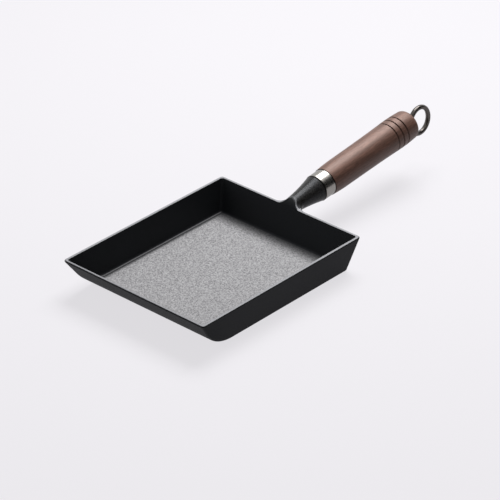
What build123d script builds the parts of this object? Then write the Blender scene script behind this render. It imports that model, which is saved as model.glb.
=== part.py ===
"""Tamagoyaki pan: a rectangular cast-iron omelette pan with a wooden grip.

The pan and its neck are one iron casting. A drawn steel ferrule and a turned, bored grip
stand in line on the end of the neck, and one steel rod runs through both. The front end of
the rod is screwed into the neck, and its back end is bent round into the hanging loop,
which bears on the grip and clamps the stack.

Millimetres. The origin lies on the flat underside, below the middle of the rim.
+X runs along the handle, +Y across the pan and +Z up.
"""

import os
from math import asin, atan2, cos, degrees, radians, sin, sqrt, tan

from build123d import *

# Pan, measured over its outside. A flare is how far a wall leans out from the base to the rim
rim_length = 191.0
rim_width = 154.8
pan_height = 31.0
front_flare = 22.0
back_flare = 9.6
side_flare = 6.4
front_bend_radius = 37.5
outer_edge_radius = 3.0
rim_wall = 2.9
foot_wall = 3.4
floor_thickness = 4.0
inner_edge_radius = 2.5
rim_outer_round = 1.0
rim_inner_round = 0.4

# Neck, cast on the back wall, and the line that the whole handle follows
handle_tilt = 6.6
axis_below_rim = 1.2
neck_length = 32.4
neck_root_depth = 8.0
neck_waist_radius = 6.9
neck_end_radius = 11.6
neck_end_slope = 13.0
neck_end_chamfer = 0.6
neck_blend_radius = 9.0
tab_lean_radius = 13.0
tab_lean_angle = 61.0

# Rod with the hanging loop
rod_diameter = 4.5
thread_clearance = 0.05
thread_engagement = 20.0
thread_hole_spare = 2.0
drill_tip_angle = 118.0
rod_end_chamfer = 0.5
loop_radius = 12.0
loop_drop = 4.1
loop_bend_radius = 4.0
loop_roll = 4.5
loop_end_gap = 1.0
loop_end_round = 0.3
loop_seat_gap = 0.3

# Ferrule
ferrule_length = 12.3
ferrule_radius = 12.0
ferrule_wall = 1.0
ferrule_edge_chamfer = 0.6
bore_clearance = 0.25

# Grip
grip_length = 110.0
grip_shoulder_radius = 12.45
grip_front_radius = 13.2
grip_middle_radius = 13.35
grip_swell_radius = 14.0
grip_end_radius = 13.2
grip_end_round = 3.0
grip_end_crown = 0.3
tenon_fit = 0.05
tenon_end_gap = 0.2
groove_count = 3
first_groove = 82.0
groove_pitch = 6.35
groove_width = 1.5
groove_depth = 1.0

# Where the grip's front, middle and swell radii lie, as shares of its length
front_share = 0.15
middle_share = 0.42
swell_share = 0.77

# How far the cutting shapes run past what they cut
overrun = 5.0

# Line of the handle, and the plane for what is turned about it: local x runs along the handle,
# and local y is the radius
handle_direction = Vector(cos(radians(handle_tilt)), 0, sin(radians(handle_tilt)))
handle_start = Vector(rim_length / 2, 0, pan_height - axis_below_rim)
handle_axis = Axis(handle_start, handle_direction)
turning_plane = Plane(origin=handle_start, x_dir=handle_direction, z_dir=(0, -1, 0))

# Stations along the handle, measured from the outside of the rim
ferrule_start = neck_length
grip_start = ferrule_start + ferrule_length
grip_end = grip_start + grip_length
rod_start = neck_length - thread_engagement

rod_radius = rod_diameter / 2
thread_hole_radius = rod_radius + thread_clearance
bore_radius = rod_radius + bore_clearance


def wall_at(height):
    """Level thickness of the wall, which thins from the floor up to the rim."""
    rise = (height - floor_thickness) / (pan_height - floor_thickness)
    return foot_wall + (rim_wall - foot_wall) * rise


def at_height(edge, height):
    """Whether an edge lies level at a height."""
    box = edge.bounding_box()
    return max(abs(box.min.Z - height), abs(box.max.Z - height)) < rim_inner_round / 4


def pan_form(bottom, top, bottom_inset, top_inset, bend_radius, edge_radius):
    """Solid between two heights that follows the pan's outside, drawn in by a level inset. Its
    front is bent up out of its bottom, and its upright and bottom edges are rounded."""
    ends = []
    for height, inset in ((bottom, bottom_inset), (top, top_inset)):
        flare_left = 1 - height / pan_height
        front = -rim_length / 2 + front_flare * flare_left + inset
        back = rim_length / 2 - back_flare * flare_left - inset
        side = rim_width / 2 - side_flare * flare_left - inset
        ends.append((height, front, back, side))
    (low, low_front, low_back, low_side), (high, high_front, high_back, high_side) = ends
    with BuildPart() as form:
        with BuildSketch(Plane.XZ) as side_view:
            Polygon((low_front, low), (low_back, low), (high_back, high), (high_front, high), align=None)
            fillet(side_view.vertices().sort_by_distance((low_front, low))[0], bend_radius)
        extrude(amount=rim_width, both=True)
        with BuildSketch(Plane.YZ):
            Polygon((-low_side, low), (low_side, low), (high_side, high), (-high_side, high), align=None)
        extrude(amount=rim_length, both=True, mode=Mode.INTERSECT)
        fillet(form.edges().filter_by(lambda edge: not at_height(edge, top)), edge_radius)
    return form.part


# Outside of the pan, and the cooking space inside it
above_rim = pan_height + overrun
outside = pan_form(0, pan_height, 0, 0, front_bend_radius, outer_edge_radius)
cooking_space = pan_form(
    floor_thickness,
    above_rim,
    wall_at(floor_thickness),
    wall_at(above_rim),
    front_bend_radius - foot_wall,
    inner_edge_radius,
)

# Pan body: one grey-iron casting, with four flared walls, a flat floor and the neck
with BuildPart() as pan_body:
    # The rim's outer edge is rounded off
    add(outside)
    fillet(pan_body.edges().filter_by(lambda edge: at_height(edge, pan_height)), rim_outer_round)

    # The neck swells from its waist inside the wall to the seat of the ferrule
    with BuildSketch(turning_plane):
        with BuildLine():
            neck_root = (-neck_root_depth, neck_waist_radius)
            neck_brim = (neck_length - neck_end_chamfer, neck_end_radius)
            neck_seat = (neck_length, neck_end_radius - neck_end_chamfer)
            neck_flare = (cos(radians(neck_end_slope)), sin(radians(neck_end_slope)))
            Spline(neck_root, neck_brim, tangents=((1, 0), neck_flare))
            Polyline(neck_brim, neck_seat, (neck_length, 0), (-neck_root_depth, 0), neck_root)
        make_face()
    revolve(axis=handle_axis)

    # One wide round leads from the wall and from the top of the rim into the neck
    neck_foot = pan_body.edges(Select.LAST).filter_by(GeomType.BSPLINE)
    neck_foot = neck_foot.filter_by_position(Axis.Y, -neck_end_radius, neck_end_radius)
    fillet(neck_foot.filter_by_position(Axis.X, 0, rim_length / 2), neck_blend_radius)

    # What stands over the rim is cut back to a tab, which leans out into the top of the neck
    inner_back = rim_length / 2 - rim_wall
    inner_slope = back_flare / pan_height + (foot_wall - rim_wall) / (pan_height - floor_thickness)
    lean_start = atan2(inner_slope, 1)
    lean_finish = radians(tab_lean_angle)
    tab_foot = (inner_back, pan_height)
    tab_bend = (
        inner_back + tab_lean_radius * (cos(lean_start) - cos(lean_finish)),
        pan_height + tab_lean_radius * (sin(lean_finish) - sin(lean_start)),
    )
    cut_top = pan_height + neck_end_radius
    tab_top = (tab_bend[0] + (cut_top - tab_bend[1]) * tan(lean_finish), cut_top)
    with BuildSketch(Plane.XZ):
        with BuildLine():
            TangentArc(tab_foot, tab_bend, tangent=(sin(lean_start), cos(lean_start)))
            Polyline(tab_bend, tab_top, (0, cut_top), (0, pan_height), tab_foot)
        make_face()
    extrude(amount=rim_width / 2, both=True, mode=Mode.SUBTRACT)

    # Cooking space
    add(cooking_space, mode=Mode.SUBTRACT)

    # The rim's inner edge is broken, all the way round and over the tab
    rim_edges = pan_body.edges().filter_by(lambda edge: at_height(edge, pan_height))
    long_edges = rim_edges.filter_by_position(Axis.X, -rim_wall, rim_wall).sort_by(Axis.Y)
    fillet(long_edges[1:-1], rim_inner_round)

    # Blind tapped hole for the rod, left as plain as its thread
    hole_depth = thread_engagement + thread_hole_spare
    tip_depth = hole_depth + thread_hole_radius / tan(radians(drill_tip_angle / 2))
    with BuildSketch(turning_plane):
        with BuildLine():
            hole_mouth = (neck_length + overrun, 0)
            hole_side = (neck_length - hole_depth, thread_hole_radius)
            hole_tip = (neck_length - tip_depth, 0)
            Polyline(hole_mouth, (hole_mouth[0], thread_hole_radius), hole_side, hole_tip, hole_mouth)
        make_face()
    revolve(axis=handle_axis, mode=Mode.SUBTRACT)


# Ferrule: a cup drawn from thin steel, whose closed end seats on the neck
with BuildPart() as ferrule:
    with BuildSketch(turning_plane) as cup:
        with BuildLine():
            cup_floor = ferrule_start + ferrule_wall
            Polyline(
                (ferrule_start, bore_radius),
                (ferrule_start, ferrule_radius),
                (grip_start, ferrule_radius),
                (grip_start, ferrule_radius - ferrule_wall),
                (cup_floor, ferrule_radius - ferrule_wall),
                (cup_floor, bore_radius),
                (ferrule_start, bore_radius),
            )
        make_face()
        front_corner = cup.vertices().sort_by_distance((ferrule_start, ferrule_radius))[0]
        chamfer(front_corner, ferrule_edge_chamfer)
    revolve(axis=handle_axis)


# Grip: turned hardwood, with a tenon in the ferrule, a bore for the rod and three grooves
with BuildPart() as grip:
    with BuildSketch(turning_plane) as turning:
        with BuildLine():
            tenon_end = ferrule_start + ferrule_wall + tenon_end_gap
            tenon_radius = ferrule_radius - ferrule_wall - tenon_fit
            grip_shoulder = (grip_start, grip_shoulder_radius)
            grip_corner = (grip_end - grip_end_crown, grip_end_radius)
            Polyline(
                (grip_end, bore_radius),
                (tenon_end, bore_radius),
                (tenon_end, tenon_radius),
                (grip_start, tenon_radius),
                grip_shoulder,
            )
            grip_front = (grip_start + grip_length * front_share, grip_front_radius)
            grip_middle = (grip_start + grip_length * middle_share, grip_middle_radius)
            grip_swell = (grip_start + grip_length * swell_share, grip_swell_radius)
            long_taper = Line(grip_middle, grip_front)
            TangentArc(grip_front, grip_shoulder, tangent=long_taper % 1)
            swelling = TangentArc(grip_middle, grip_swell, tangent=long_taper % 0 * -1)
            TangentArc(grip_swell, grip_corner, tangent=swelling % 1)
            Line(grip_corner, (grip_end, bore_radius))
        make_face()
        fillet(turning.vertices().sort_by_distance(grip_corner)[0], grip_end_round)
    revolve(axis=handle_axis)

    groove_floor_radius = grip_swell_radius - groove_depth
    for groove in range(groove_count):
        groove_station = grip_start + first_groove + groove * groove_pitch
        with BuildSketch(turning_plane):
            half_width = overrun * groove_width / groove_depth / 2
            Polygon(
                (groove_station, groove_floor_radius),
                (groove_station + half_width, groove_floor_radius + overrun),
                (groove_station - half_width, groove_floor_radius + overrun),
                align=None,
            )
        revolve(axis=handle_axis, mode=Mode.SUBTRACT)


# Rod: one steel wire, screwed into the neck, whose back end is bent round into the loop
with BuildPart() as hanging_loop_rod:
    loop_centre = grip_end + loop_seat_gap + rod_radius + loop_radius
    bend_rise = loop_bend_radius + loop_drop
    bend_run = sqrt((loop_bend_radius + loop_radius) ** 2 - bend_rise**2)
    bend_angle = atan2(bend_rise, bend_run)
    bend_start = (loop_centre - bend_run, 0)
    bend_end = (
        loop_centre - loop_radius * cos(bend_angle),
        loop_radius * sin(bend_angle) - loop_drop,
    )
    closing_angle = asin((loop_drop - rod_radius - loop_end_gap) / loop_radius)
    across = Vector(0, -1, 0).rotate(handle_axis, -loop_roll)
    loop_plane = Plane(origin=handle_start, x_dir=handle_direction, z_dir=across)
    with BuildLine(loop_plane) as rod_line:
        Line((rod_start, 0), bend_start)
        TangentArc(bend_start, bend_end, tangent=(1, 0))
        CenterArc(
            (loop_centre, -loop_drop),
            loop_radius,
            start_angle=180 - degrees(bend_angle),
            arc_size=degrees(bend_angle + closing_angle) - 360,
        )
    with BuildSketch(Plane(origin=rod_line.line @ 0, z_dir=rod_line.line % 0)):
        Circle(rod_radius)
    sweep(path=rod_line.line)
    rod_ends = hanging_loop_rod.edges().filter_by(GeomType.CIRCLE)
    chamfer(rod_ends.sort_by_distance(rod_line.line @ 0)[0], rod_end_chamfer)
    cut_end = hanging_loop_rod.faces().filter_by(GeomType.PLANE).sort_by_distance(rod_line.line @ 1)[0]
    fillet(cut_end.edges(), loop_end_round)


os.makedirs("parts", exist_ok=True)
pan_body.part.label = "pan_body"
export_step(pan_body.part, "parts/pan_body.step")
ferrule.part.label = "ferrule"
export_step(ferrule.part, "parts/ferrule.step")
grip.part.label = "grip"
export_step(grip.part, "parts/grip.step")
hanging_loop_rod.part.label = "hanging_loop_rod"
export_step(hanging_loop_rod.part, "parts/hanging_loop_rod.step")
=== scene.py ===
"""Looks of the tamagoyaki pan: seasoned cast iron, a polished ferrule, a walnut grip and a steel rod.

Metres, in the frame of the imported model: +X runs along the handle, +Y across the pan and +Z up.
"""

import math

import bmesh
import bpy
from mathutils import Matrix, Vector

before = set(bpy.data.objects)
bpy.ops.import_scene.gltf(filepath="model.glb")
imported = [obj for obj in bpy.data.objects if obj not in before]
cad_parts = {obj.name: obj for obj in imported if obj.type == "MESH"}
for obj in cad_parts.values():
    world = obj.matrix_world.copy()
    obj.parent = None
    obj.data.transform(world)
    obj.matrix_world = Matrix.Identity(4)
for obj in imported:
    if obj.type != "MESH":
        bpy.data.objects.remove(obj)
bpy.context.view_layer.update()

MM = 0.001


# Pan body: one grey-iron sand casting, seasoned black with oil. Its rim is ground flat to bare metal. Its
# floor is painted a speckled light grey, a painted reflection of the lamp's sheen on the black iron, with
# painted shade near the walls. The neck carries the handle. The sand grain, speckle and grinding marks are
# drawn coarser than the real ones, so that they show.
PAN_HEIGHT = 31 * MM
FLOOR_HEIGHT = 4 * MM
FOOT_START = 0.2 * MM
FOOT_END = 2.2 * MM
FLOOR_BACK = 83.8 * MM
FLOOR_REFLECTION_HALF_WIDTH = 66.2 * MM
WALL_SHADE_FADE = 18 * MM
SIDE_REACH = 4.5
NECK_ROOT = 94 * MM
NECK_FULLY_WORN_AND_LIT = 102 * MM
RIM_FLAT = 0.45 * MM
OIL_POOL = 30 * MM
SAND_GRAIN = 1.0 * MM
SAND_RELIEF = 0.12 * MM
FLOOR_SPECKLE = 1.2 * MM
GRINDING_MARK = 1.2 * MM
TAB_CENTRE = Vector((105.9 * MM, 0, 27.0 * MM))
TAB_RADIUS = 13 * MM
TAB_EDGE = 0.6 * MM
TAB_EDGE_FOOT = 93.9 * MM
TAB_EDGE_TOP = 100.9 * MM
TAB_EDGE_BOTTOM = PAN_HEIGHT - 0.2 * MM
TAB_EDGE_FADE = 0.5 * MM


def linear(srgb_hex):
    """Scene-linear RGBA of an sRGB colour written as hex."""
    channels = [int(srgb_hex[i:i + 2], 16) / 255 for i in (1, 3, 5)]
    return [c / 12.92 if c <= 0.04045 else ((c + 0.055) / 1.055) ** 2.4 for c in channels] + [1]


def add(tree, kind, values=None, links=None, **settings):
    """Adds a node with its settings, its sockets' values and its links, and returns it."""
    node = tree.nodes.new(kind)
    for name, value in settings.items():
        setattr(node, name, value)
    for socket, value in (values or {}).items():
        node.inputs[socket].default_value = value
    for socket, source in (links or {}).items():
        tree.links.new(source, node.inputs[socket])
    return node


def new_material(name):
    """An empty node material, its tree and its output node."""
    material = bpy.data.materials.new(name)
    material.use_nodes = True
    material.node_tree.nodes.clear()
    return material, material.node_tree, add(material.node_tree, "ShaderNodeOutputMaterial")


def dress(piece, material):
    """Gives a piece one finish all over."""
    piece.data.materials.clear()
    piece.data.materials.append(material)


def iron_finish():
    """Seasoned sand-cast iron: black and pebbled, with a painted reflection in grey on the floor, and bare
    metal where ground.
    """
    material, tree, output = new_material("seasoned_sand_cast_iron")
    place = add(tree, "ShaderNodeTexCoord").outputs["Object"]
    surface = add(tree, "ShaderNodeNewGeometry").outputs["Normal"]
    along, across, height = add(tree, "ShaderNodeSeparateXYZ", links={0: place}).outputs
    _, facing_across, facing_up = add(tree, "ShaderNodeSeparateXYZ", links={0: surface}).outputs

    # Where the floor is: level, and inside the pan
    level = add(
        tree, "ShaderNodeMapRange", {1: 0.80, 2: 0.985}, {0: facing_up}, interpolation_type="SMOOTHSTEP"
    )
    under = add(
        tree,
        "ShaderNodeMapRange",
        {1: FLOOR_HEIGHT + FOOT_END, 2: FLOOR_HEIGHT + FOOT_START},
        {0: height},
    )
    floor = add(
        tree, "ShaderNodeMath", links={0: level.outputs[0], 1: under.outputs[0]}, operation="MULTIPLY"
    )

    # Painted shade: the floor's painted grey fades out towards the back wall and near the side walls, where
    # the walls shade the floor
    to_back = add(tree, "ShaderNodeMath", {0: FLOOR_BACK}, {1: along}, operation="SUBTRACT")
    off_middle = add(tree, "ShaderNodeMath", links={0: across}, operation="ABSOLUTE")
    to_side = add(
        tree,
        "ShaderNodeMath",
        {1: -SIDE_REACH, 2: SIDE_REACH * FLOOR_REFLECTION_HALF_WIDTH},
        {0: off_middle.outputs[0]},
        operation="MULTIPLY_ADD",
    )
    to_wall = add(
        tree,
        "ShaderNodeMath",
        {2: WALL_SHADE_FADE / 2},
        {0: to_back.outputs[0], 1: to_side.outputs[0]},
        operation="SMOOTH_MIN",
    )
    # Painted shade of the walls: 0 at the walls' feet, rising to 1 away from them
    out_of_wall_shade = add(
        tree,
        "ShaderNodeMapRange",
        {1: -0.1 * WALL_SHADE_FADE, 2: WALL_SHADE_FADE, 3: 0.05},
        {0: to_wall.outputs[0]},
        interpolation_type="SMOOTHSTEP",
    )
    floor_reflection_and_shade = add(
        tree, "ShaderNodeMath", links={0: floor.outputs[0], 1: out_of_wall_shade.outputs[0]}, operation="MULTIPLY"
    )

    # Painted highlight: a thin light line along the foot of each side wall, where the surface begins to
    # turn up
    sideways = add(tree, "ShaderNodeMath", links={0: facing_across}, operation="ABSOLUTE")
    off_the_wall = add(
        tree, "ShaderNodeMath", {1: 0.4, 2: 0.2}, {0: sideways.outputs[0]}, operation="COMPARE"
    )
    off_the_floor = add(tree, "ShaderNodeMath", {1: 0.9, 2: 0.08}, {0: facing_up}, operation="COMPARE")
    turning = add(
        tree,
        "ShaderNodeMath",
        links={0: off_the_wall.outputs[0], 1: off_the_floor.outputs[0]},
        operation="MULTIPLY",
    )
    foot_highlight = add(
        tree, "ShaderNodeMath", links={0: turning.outputs[0], 1: under.outputs[0]}, operation="MULTIPLY"
    )

    # The tab at the neck's root leans out on an arc. Its edges are ground with the rim and carry a painted
    # highlight, both lightest near the rim and fading higher up
    side_view = add(tree, "ShaderNodeVectorMath", {1: (1, 0, 1)}, {0: place}, operation="MULTIPLY")
    from_centre = add(
        tree, "ShaderNodeVectorMath", {1: TAB_CENTRE}, {0: side_view.outputs[0]}, operation="DISTANCE"
    )
    at_edge = add(
        tree,
        "ShaderNodeMath",
        {1: TAB_RADIUS - 1.2 * TAB_EDGE, 2: TAB_EDGE},
        {0: from_centre.outputs["Value"]},
        operation="COMPARE",
    )
    low_down = add(tree, "ShaderNodeMapRange", {1: TAB_EDGE_TOP, 2: TAB_EDGE_FOOT}, {0: along})
    over_rim = add(
        tree,
        "ShaderNodeMapRange",
        {1: TAB_EDGE_BOTTOM, 2: TAB_EDGE_BOTTOM + TAB_EDGE_FADE},
        {0: height},
    )
    tab_side = add(
        tree,
        "ShaderNodeMath",
        links={0: at_edge.outputs[0], 1: low_down.outputs[0]},
        operation="MULTIPLY",
    )
    # Ground metal and painted highlight along the tab's edges
    tab_edge_ground_and_highlit = add(
        tree,
        "ShaderNodeMath",
        links={0: tab_side.outputs[0], 1: over_rim.outputs[0]},
        operation="MULTIPLY",
    )

    # Where the rim is ground: level, and at the rim's height
    flat = add(
        tree, "ShaderNodeMapRange", {1: 0.80, 2: 0.93}, {0: facing_up}, interpolation_type="SMOOTHSTEP"
    )
    near_rim = add(tree, "ShaderNodeMath", {1: PAN_HEIGHT, 2: RIM_FLAT}, {0: height}, operation="COMPARE")
    rim_flat = add(
        tree, "ShaderNodeMath", links={0: flat.outputs[0], 1: near_rim.outputs[0]}, operation="MULTIPLY"
    )
    rim = add(
        tree,
        "ShaderNodeMath",
        links={0: rim_flat.outputs[0], 1: tab_edge_ground_and_highlit.outputs[0]},
        operation="MAXIMUM",
    )

    # Black skin, slightly uneven where oil has pooled
    pooled = add(tree, "ShaderNodeTexNoise", {"Scale": 1 / OIL_POOL, "Detail": 3.0}, {"Vector": place})
    pebbles = add(
        tree,
        "ShaderNodeTexNoise",
        {"Scale": 1 / SAND_GRAIN, "Detail": 2.0, "Roughness": 0.6},
        {"Vector": place},
    )
    skin = add(
        tree,
        "ShaderNodeMix",
        {6: linear("#090a0b"), 7: linear("#101215")},
        {0: pooled.outputs[0]},
        data_type="RGBA",
    )

    # The neck is wiped by the hand, which wears its skin smoother and greyer on the high spots. The grey is
    # partly painted highlight, for the sheen where the neck faces the lamp
    neck_wear_and_sheen = add(tree, "ShaderNodeMapRange", {1: NECK_ROOT, 2: NECK_FULLY_WORN_AND_LIT}, {0: along})
    high_spots = add(tree, "ShaderNodeMapRange", {1: 0.4, 2: 0.6}, {0: pebbles.outputs[0]})
    # Worn skin and painted highlight: the neck's lighter grey high spots
    neck_skin_and_sheen = add(
        tree,
        "ShaderNodeMix",
        {6: linear("#0d0d0d"), 7: linear("#363433")},
        {0: high_spots.outputs[0]},
        data_type="RGBA",
    )
    whole_skin = add(
        tree,
        "ShaderNodeMix",
        links={0: neck_wear_and_sheen.outputs[0], 6: skin.outputs[2], 7: neck_skin_and_sheen.outputs[2]},
        data_type="RGBA",
    )

    # Floor speckle in light grey, a painted reflection of the lamp's sheen on the black iron, and the rim's
    # bare metal
    speckle = add(
        tree,
        "ShaderNodeTexNoise",
        {"Scale": 1 / FLOOR_SPECKLE, "Detail": 3.0, "Roughness": 0.75},
        {"Vector": place},
    )
    contrast = add(tree, "ShaderNodeMapRange", {1: 0.36, 2: 0.64}, {0: speckle.outputs[0]})
    floor_reflection_colour = add(
        tree,
        "ShaderNodeMix",
        {6: linear("#737274"), 7: linear("#c3c2c4")},
        {0: contrast.outputs[0]},
        data_type="RGBA",
    )
    # Painted highlight: the light grey line along the foot of the side walls
    with_foot_highlight = add(
        tree,
        "ShaderNodeMix",
        {7: linear("#666567")},
        {0: foot_highlight.outputs[0], 6: whole_skin.outputs[2]},
        data_type="RGBA",
    )
    # Painted reflection: the floor is given its light speckled grey here
    with_floor = add(
        tree,
        "ShaderNodeMix",
        links={0: floor_reflection_and_shade.outputs[0], 6: with_foot_highlight.outputs[2], 7: floor_reflection_colour.outputs[2]},
        data_type="RGBA",
    )
    ground = add(tree, "ShaderNodeTexNoise", {"Scale": 1 / GRINDING_MARK, "Detail": 2.0}, {"Vector": place})
    bare = add(
        tree,
        "ShaderNodeMix",
        {6: linear("#7c7c7f"), 7: linear("#99999c")},
        {0: ground.outputs[0]},
        data_type="RGBA",
    )
    colour = add(
        tree,
        "ShaderNodeMix",
        links={0: rim.outputs[0], 6: with_floor.outputs[2], 7: bare.outputs[2]},
        data_type="RGBA",
    )
    metallic = add(tree, "ShaderNodeMath", {1: 0.4}, {0: rim.outputs[0]}, operation="MULTIPLY")
    roughness = add(tree, "ShaderNodeMapRange", {3: 0.64, 4: 0.31}, {0: neck_wear_and_sheen.outputs[0]})
    relief = add(tree, "ShaderNodeMapRange", {3: 0.7, 4: 0.9}, {0: neck_wear_and_sheen.outputs[0]})
    bump = add(
        tree,
        "ShaderNodeBump",
        {"Distance": SAND_RELIEF},
        {"Strength": relief.outputs[0], "Height": pebbles.outputs[0]},
    )
    shader = add(
        tree,
        "ShaderNodeBsdfPrincipled",
        {"IOR": 1.5, "Specular IOR Level": 0.2, "Specular Tint": linear("#ecf0f8")},
        {
            "Base Color": colour.outputs[2],
            "Metallic": metallic.outputs[0],
            "Roughness": roughness.outputs[0],
            "Normal": bump.outputs[0],
        },
    )
    tree.links.new(shader.outputs[0], output.inputs["Surface"])
    return material


dress(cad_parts["pan_body"], iron_finish())


# Ferrule: a cup drawn from thin stainless steel and polished on a wheel. It caps the end of the grip and
# closes against the neck. Its polishing lines are drawn coarser than the real ones, so that they show.
HANDLE_TILT = math.radians(6.6)
HANDLE_START = Vector((95.5 * MM, 0, 29.8 * MM))
POLISHING_LINE = 0.5 * MM
POLISHING_DEPTH = 0.02 * MM
FERRULE_START = 32.4 * MM
FERRULE_LENGTH = 12.3 * MM
SHADED_EDGE = 0.6 * MM


def along_handle(tree):
    """Object coordinates turned into the handle: X is the distance along it, and Y and Z cross it."""
    place = add(tree, "ShaderNodeTexCoord").outputs["Object"]
    turned_start = Matrix.Rotation(HANDLE_TILT, 3, "Y") @ HANDLE_START
    turn = add(
        tree,
        "ShaderNodeMapping",
        {"Location": -turned_start, "Rotation": (0, HANDLE_TILT, 0)},
        {"Vector": place},
    )
    return turn.outputs[0]


def polished_steel():
    """Wheel-polished stainless steel: a soft mirror with faint lines round it, and painted shade along its
    edges.
    """
    material, tree, output = new_material("polished_stainless_steel")
    station = add(tree, "ShaderNodeSeparateXYZ", links={0: along_handle(tree)}).outputs["X"]
    lines = add(
        tree,
        "ShaderNodeTexNoise",
        {"Scale": 1 / POLISHING_LINE, "Detail": 2.0},
        {"W": station},
        noise_dimensions="1D",
    )
    roughness = add(tree, "ShaderNodeMapRange", {1: 0.3, 2: 0.7, 3: 0.22, 4: 0.32}, {0: lines.outputs[0]})
    bump = add(
        tree,
        "ShaderNodeBump",
        {"Strength": 0.08, "Distance": POLISHING_DEPTH},
        {"Height": lines.outputs[0]},
    )
    # Painted shade: darker along both ends of the ferrule, where it meets the neck and the grip
    from_middle = add(
        tree, "ShaderNodeMath", {1: FERRULE_START + FERRULE_LENGTH / 2}, {0: station}, operation="SUBTRACT"
    )
    off_middle = add(tree, "ShaderNodeMath", links={0: from_middle.outputs[0]}, operation="ABSOLUTE")
    edge_shade = add(
        tree,
        "ShaderNodeMapRange",
        {1: FERRULE_LENGTH / 2 - SHADED_EDGE * 1.4, 2: FERRULE_LENGTH / 2 - SHADED_EDGE * 0.6},
        {0: off_middle.outputs[0]},
    )
    colour = add(
        tree,
        "ShaderNodeMix",
        {6: linear("#8d8a86"), 7: linear("#2b2927")},
        {0: edge_shade.outputs[0]},
        data_type="RGBA",
    )
    shader = add(
        tree,
        "ShaderNodeBsdfPrincipled",
        {"Metallic": 1.0},
        {"Base Color": colour.outputs[2], "Roughness": roughness.outputs[0], "Normal": bump.outputs[0]},
    )
    tree.links.new(shader.outputs[0], output.inputs["Surface"])
    return material


dress(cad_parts["ferrule"], polished_steel())


# Grip: walnut turned between centres, bored for the rod, and rubbed with oil to a satin shine. Three V
# grooves near its end are painted darker. Its pores are drawn coarser than the real ones, to show.
GRIP_START = 44.7 * MM
MIDDLE_GROOVE = GRIP_START + 88.35 * MM
GROOVE_PITCH = 6.35 * MM
GROOVE_WIDTH = 1.5 * MM
GRAIN_WIDTH = 2.5 * MM
PORE_WIDTH = 0.7 * MM
PORE_DEPTH = 0.05 * MM


def oiled_walnut():
    """Oiled walnut: close reddish-brown grain along the grip, with fine dark pores, under a satin sheen."""
    material, tree, output = new_material("oiled_walnut")
    place = along_handle(tree)
    drawn_out = add(
        tree, "ShaderNodeVectorMath", {1: (0.1, 1, 1)}, {0: place}, operation="MULTIPLY"
    ).outputs[0]
    rings = add(
        tree,
        "ShaderNodeTexNoise",
        {"Scale": 1 / GRAIN_WIDTH, "Detail": 3.0, "Roughness": 0.5, "Distortion": 0.3},
        {"Vector": drawn_out},
    )
    bands = add(tree, "ShaderNodeMapRange", {1: 0.3, 2: 0.7}, {0: rings.outputs[0]})
    wood = add(
        tree,
        "ShaderNodeMix",
        {6: linear("#4e372e"), 7: linear("#6f4f43")},
        {0: bands.outputs[0]},
        data_type="RGBA",
    )
    pores = add(tree, "ShaderNodeTexNoise", {"Scale": 1 / PORE_WIDTH, "Detail": 2.0}, {"Vector": drawn_out})
    pore_mask = add(tree, "ShaderNodeMapRange", {1: 0.50, 2: 0.68, 4: 0.7}, {0: pores.outputs[0]})
    pored = add(
        tree,
        "ShaderNodeMix",
        {7: linear("#38241c")},
        {0: pore_mask.outputs[0], 6: wood.outputs[2]},
        data_type="RGBA",
    )

    # Darker grooves, by the distance from the nearest of them
    station = add(tree, "ShaderNodeSeparateXYZ", links={0: place}).outputs["X"]
    from_middle = add(
        tree, "ShaderNodeMath", {1: MIDDLE_GROOVE}, {0: station}, operation="SUBTRACT"
    ).outputs[0]
    folded = add(
        tree,
        "ShaderNodeMath",
        {1: GROOVE_PITCH / 2, 2: -GROOVE_PITCH / 2},
        {0: from_middle},
        operation="WRAP",
    )
    to_groove = add(tree, "ShaderNodeMath", links={0: folded.outputs[0]}, operation="ABSOLUTE")
    groove_darkening = add(
        tree,
        "ShaderNodeMapRange",
        {1: GROOVE_WIDTH * 0.25, 2: GROOVE_WIDTH * 0.6, 3: 0.85, 4: 0},
        {0: to_groove.outputs[0]},
    )
    reach = add(
        tree, "ShaderNodeMath", {1: 0, 2: GROOVE_PITCH * 1.5}, {0: from_middle}, operation="COMPARE"
    )
    darkened_grooves = add(
        tree, "ShaderNodeMath", links={0: groove_darkening.outputs[0], 1: reach.outputs[0]}, operation="MULTIPLY"
    )
    colour = add(
        tree,
        "ShaderNodeMix",
        {7: linear("#241610")},
        {0: darkened_grooves.outputs[0], 6: pored.outputs[2]},
        data_type="RGBA",
    )
    roughness = add(tree, "ShaderNodeMapRange", {3: 0.44, 4: 0.54}, {0: pores.outputs[0]})
    bump = add(
        tree, "ShaderNodeBump", {"Strength": 0.1, "Distance": PORE_DEPTH}, {"Height": pores.outputs[0]}
    )
    shader = add(
        tree,
        "ShaderNodeBsdfPrincipled",
        {
            "Specular IOR Level": 0.65,
            "Specular Tint": linear("#ffdccf"),
            "Coat Weight": 0.1,
            "Coat Roughness": 0.45,
        },
        {"Base Color": colour.outputs[2], "Roughness": roughness.outputs[0], "Normal": bump.outputs[0]},
    )
    tree.links.new(shader.outputs[0], output.inputs["Surface"])
    return material


dress(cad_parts["grip"], oiled_walnut())


# Hanging rod: one bright steel wire, screwed into the neck at the front and bent cold into the loop that
# clamps the grip.
WEAR_SPOT = 3 * MM


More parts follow.
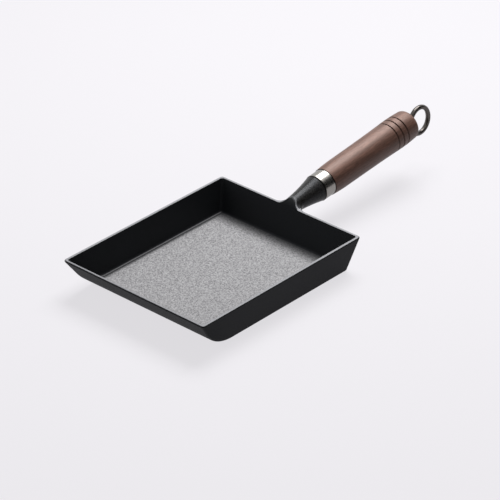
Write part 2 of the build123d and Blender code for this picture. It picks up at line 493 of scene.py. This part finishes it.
def bright_steel_wire():
    """Cold-drawn steel wire: bright, with a soft drawn sheen."""
    material, tree, output = new_material("bright_drawn_steel_wire")
    place = add(tree, "ShaderNodeTexCoord").outputs["Object"]
    wear = add(tree, "ShaderNodeTexNoise", {"Scale": 1 / WEAR_SPOT, "Detail": 3.0}, {"Vector": place})
    roughness = add(tree, "ShaderNodeMapRange", {1: 0.3, 2: 0.7, 3: 0.22, 4: 0.36}, {0: wear.outputs[0]})
    shader = add(
        tree,
        "ShaderNodeBsdfPrincipled",
        {"Base Color": linear("#524e4b"), "Metallic": 1.0},
        {"Roughness": roughness.outputs[0]},
    )
    tree.links.new(shader.outputs[0], output.inputs["Surface"])
    return material


dress(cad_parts["hanging_loop_rod"], bright_steel_wire())


# Stage: a plain pale floor that keeps the pan's shadow, under a white world. Both are dimmer for diffuse
# light, so that colours render about as they are written. Two black flags show only in glossy surfaces, as
# dark bands.
FLOOR_SIZE = 6.0
FLAG_SIZE = 1.5
FLAG_PLACES = {
    "black_flag_right": Vector((0.86, -0.9, 0.4)),
    "black_flag_front": Vector((-0.95, -0.85, 0.7)),
}
PAPER = "#f2f0f4"
OWN_LIGHT = 0.8
AMBIENT = 0.08


def sheet(name, size, material):
    """A square stage sheet that lies level at the origin."""
    shape = bmesh.new()
    bmesh.ops.create_grid(shape, x_segments=1, y_segments=1, size=size / 2)
    data = bpy.data.meshes.new(name)
    shape.to_mesh(data)
    shape.free()
    piece = bpy.data.objects.new(name, data)
    bpy.context.scene.collection.objects.link(piece)
    dress(piece, material)
    return piece


def showing(tree):
    """1 for a ray that shows a thing to the camera, straight or in gloss or glass, and 0 for other rays."""
    ray = add(tree, "ShaderNodeLightPath")
    straight_or_gloss = add(
        tree,
        "ShaderNodeMath",
        links={0: ray.outputs["Is Camera Ray"], 1: ray.outputs["Is Glossy Ray"]},
        operation="ADD",
    )
    in_any_way = add(
        tree,
        "ShaderNodeMath",
        links={0: straight_or_gloss.outputs[0], 1: ray.outputs["Is Transmission Ray"]},
        operation="ADD",
        use_clamp=True,
    )
    return in_any_way.outputs[0]


def white_paper():
    """White paper. Where it shows, most of its light is its own, so that its shadows stay faint."""
    material, tree, output = new_material("white_paper_sweep")
    ray = add(tree, "ShaderNodeLightPath")
    lit = add(tree, "ShaderNodeBsdfDiffuse", {"Color": linear(PAPER)})
    glow = add(tree, "ShaderNodeEmission", {"Color": linear(PAPER), "Strength": 1.0})
    own = add(tree, "ShaderNodeMath", {1: OWN_LIGHT}, {0: showing(tree)}, operation="MULTIPLY")
    seen = add(
        tree, "ShaderNodeMixShader", links={0: own.outputs[0], 1: lit.outputs[0], 2: glow.outputs[0]}
    )
    dim = add(tree, "ShaderNodeBsdfDiffuse", {"Color": linear("#444446")})
    both = add(
        tree,
        "ShaderNodeMixShader",
        links={0: ray.outputs["Is Diffuse Ray"], 1: seen.outputs[0], 2: dim.outputs[0]},
    )
    tree.links.new(both.outputs[0], output.inputs["Surface"])
    return material


def black_cloth():
    """Black duvetyne: dull, napped cotton that gives back little light."""
    material, tree, output = new_material("black_duvetyne_cloth")
    nap = add(tree, "ShaderNodeBsdfDiffuse", {"Color": linear("#3a3a3a")})
    tree.links.new(nap.outputs[0], output.inputs["Surface"])
    return material


sheet("floor", FLOOR_SIZE, white_paper())
for name, place in FLAG_PLACES.items():
    flag = sheet(name, FLAG_SIZE, black_cloth())
    flag.matrix_world = Matrix.Translation(place) @ place.to_track_quat("Z", "Y").to_matrix().to_4x4()
    flag.visible_camera = False
    flag.visible_diffuse = False
    flag.visible_transmission = False
    flag.visible_shadow = False

world = bpy.data.worlds.new("studio")
bpy.context.scene.world = world
world.use_nodes = True
world.node_tree.nodes.clear()
strength = add(world.node_tree, "ShaderNodeMapRange", {3: AMBIENT, 4: 1.0}, {0: showing(world.node_tree)})
sky = add(
    world.node_tree, "ShaderNodeBackground", {"Color": linear("#ffffff")}, {"Strength": strength.outputs[0]}
)
add(world.node_tree, "ShaderNodeOutputWorld", links={"Surface": sky.outputs[0]})


# Lamps: a large softbox high up beyond the handle's end, and a weak one at the far left that only shapes
# the edges.
def softbox(name, place, target, size, power):
    """A square area lamp at a place, turned towards a target."""
    data = bpy.data.lights.new(name, "AREA")
    data.shape = "SQUARE"
    data.size = size
    data.energy = power
    lamp = bpy.data.objects.new(name, data)
    bpy.context.scene.collection.objects.link(lamp)
    lamp.location = place
    lamp.rotation_euler = (Vector(target) - Vector(place)).to_track_quat("-Z", "Y").to_euler()


softbox("softbox_overhead", place=(0.57, 0.22, 1.0), target=(0.04, 0, 0), size=0.72, power=16.2)
softbox("softbox_left", place=(-1.0, 1.0, 0.9), target=(0.05, 0, 0.02), size=0.7, power=1.5)


# Camera: where the photograph was taken from, found from the rim's corners and the line of the handle.
AZIMUTH = math.radians(-47.951)
ELEVATION = math.radians(30.332)
DISTANCE = 2354.873 * MM
SLIDE_RIGHT = 30.193 * MM
SLIDE_UP = 25.303 * MM
SENSOR = 36.0
PHOTO_SIDE = 500
FOCAL_PIXELS = 2880.05
FAR_CLIP = 20

back = Vector((
    math.sin(AZIMUTH) * math.cos(ELEVATION), -math.cos(AZIMUTH) * math.cos(ELEVATION), math.sin(ELEVATION)
))
right = Vector((math.cos(AZIMUTH), math.sin(AZIMUTH), 0))
up = back.cross(right)
camera_data = bpy.data.cameras.new("camera")
camera_data.sensor_width = SENSOR
camera_data.lens = SENSOR * FOCAL_PIXELS / PHOTO_SIDE
camera_data.clip_end = FAR_CLIP
camera = bpy.data.objects.new("camera", camera_data)
bpy.context.scene.collection.objects.link(camera)
stand = back * DISTANCE + right * SLIDE_RIGHT + up * SLIDE_UP
camera.matrix_world = Matrix.Translation(stand) @ Matrix((right, up, back)).transposed().to_4x4()
bpy.context.scene.camera = camera

bpy.context.scene.view_settings.view_transform = "Standard"
